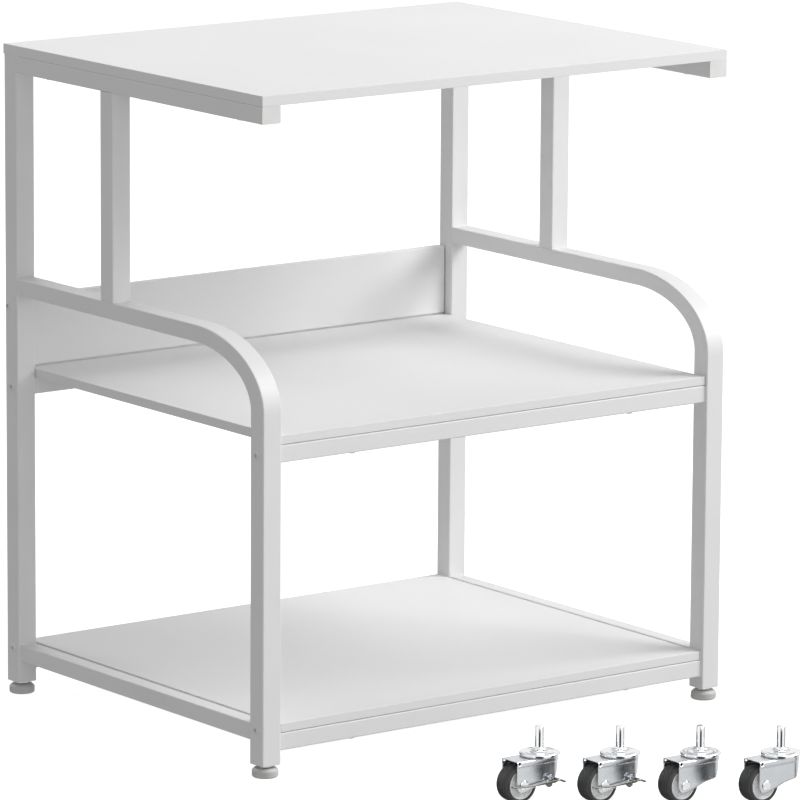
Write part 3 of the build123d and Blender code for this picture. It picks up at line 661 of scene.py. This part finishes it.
# What the bright metal mirrors: soft boxes with dark gaps between them, round the horizon, as
# (degrees from -Y towards +X, brightness).
SOFT_BOXES = (
    (-180, 0.06), (-142, 0.06), (-132, 1.05), (-66, 1.05), (-56, 0.05), (-19, 0.05), (-8, 1.05),
    (30, 0.95), (44, 0.82), (51, 0.20), (62, 0.20), (72, 0.85), (114, 0.90), (128, 0.10), (180, 0.06),
)
HORIZON = (0.02, 0.12)  # above this the mirrored studio turns plain white

world = bpy.data.worlds.new("studio")
scene.world = world
world.use_nodes = True
tree = world.node_tree


def world_node(kind):
    return tree.nodes.new(f"ShaderNode{kind}")


background = tree.nodes["Background"]
background.inputs["Color"].default_value = (1, 1, 1, 1)
background.inputs["Strength"].default_value = 0.41

split = world_node("SeparateXYZ")
tree.links.new(world_node("TexCoord").outputs["Generated"], split.inputs[0])
flip = world_node("Math")
flip.operation = "MULTIPLY"
flip.inputs[1].default_value = -1.0
tree.links.new(split.outputs["Y"], flip.inputs[0])
bearing = world_node("Math")
bearing.operation = "ARCTAN2"
tree.links.new(split.outputs["X"], bearing.inputs[0])
tree.links.new(flip.outputs[0], bearing.inputs[1])
share = world_node("MapRange")
share.inputs["From Min"].default_value = -math.pi
share.inputs["From Max"].default_value = math.pi
tree.links.new(bearing.outputs[0], share.inputs["Value"])

boxes = world_node("ValToRGB")
ramp = boxes.color_ramp
for degrees, _ in SOFT_BOXES[1:-1]:
    ramp.elements.new((degrees + 180) / 360)
for stop, (degrees, level) in zip(ramp.elements, SOFT_BOXES):
    stop.position = (degrees + 180) / 360
    stop.color = (level, level, level, 1)
tree.links.new(share.outputs["Result"], boxes.inputs["Fac"])

height = world_node("MapRange")
height.inputs["From Min"].default_value, height.inputs["From Max"].default_value = HORIZON
tree.links.new(split.outputs["Z"], height.inputs["Value"])
above = world_node("Mix")
above.data_type = "RGBA"
above.inputs["B"].default_value = (0.95, 0.95, 0.95, 1)
tree.links.new(height.outputs["Result"], above.inputs["Factor"])
tree.links.new(boxes.outputs["Color"], above.inputs["A"])
mirrored = world_node("Background")
mirrored.inputs["Strength"].default_value = 1.0
tree.links.new(above.outputs["Result"], mirrored.inputs["Color"])

choose = world_node("MixShader")
tree.links.new(world_node("LightPath").outputs["Is Glossy Ray"], choose.inputs["Fac"])
tree.links.new(background.outputs[0], choose.inputs[1])
tree.links.new(mirrored.outputs[0], choose.inputs[2])
tree.links.new(choose.outputs[0], tree.nodes["World Output"].inputs["Surface"])


def looking_from(azimuth, elevation):
    """Direction of a viewpoint, in radians; azimuth is measured from -Y towards +X."""
    flat = math.cos(elevation)
    return Vector((math.sin(azimuth) * flat, -math.cos(azimuth) * flat, math.sin(elevation)))


def area_light(name, azimuth, elevation, size, power, distance=5.0, target=(0, 0, 0.4)):
    """Soft rectangular light, angles in degrees."""
    back = looking_from(math.radians(azimuth), math.radians(elevation))
    data = bpy.data.lights.new(name, "AREA")
    data.shape = "RECTANGLE"
    data.size, data.size_y = size
    data.energy = power
    light = bpy.data.objects.new(name, data)
    scene.collection.objects.link(light)
    light.location = Vector(target) + back * distance
    light.rotation_mode = "QUATERNION"
    light.rotation_quaternion = (-back).to_track_quat("-Z", "Y")


area_light("key", 55, 36, (3.5, 2.6), 222)
area_light("front_fill", -10, 12, (3.0, 2.0), 29)
area_light("back_light", 180, 35, (3.0, 2.0), 62)

# ---------------------------------------------------------------- camera
CAMERA_PLACE = Vector((-4.3916, -5.68745, 1.7938))
CAMERA_AZIMUTH = math.radians(-37.008)
CAMERA_ELEVATION = math.radians(11.065)
CAMERA_ROLL = math.radians(0.378)
back = looking_from(CAMERA_AZIMUTH, CAMERA_ELEVATION)
right = (-back).cross(Vector((0, 0, 1))).normalized()
up = back.cross(right)
cam_x = math.cos(CAMERA_ROLL) * right + math.sin(CAMERA_ROLL) * up
cam_y = -math.sin(CAMERA_ROLL) * right + math.cos(CAMERA_ROLL) * up
camera_data = bpy.data.cameras.new("camera")
camera_data.lens = 287.2
camera_data.sensor_width = 36.0
camera_data.clip_end = 200.0
camera = bpy.data.objects.new("camera", camera_data)
scene.collection.objects.link(camera)
turn = Matrix((cam_x, cam_y, back)).transposed()
camera.matrix_world = Matrix.Translation(CAMERA_PLACE) @ turn.to_4x4()
scene.camera = camera
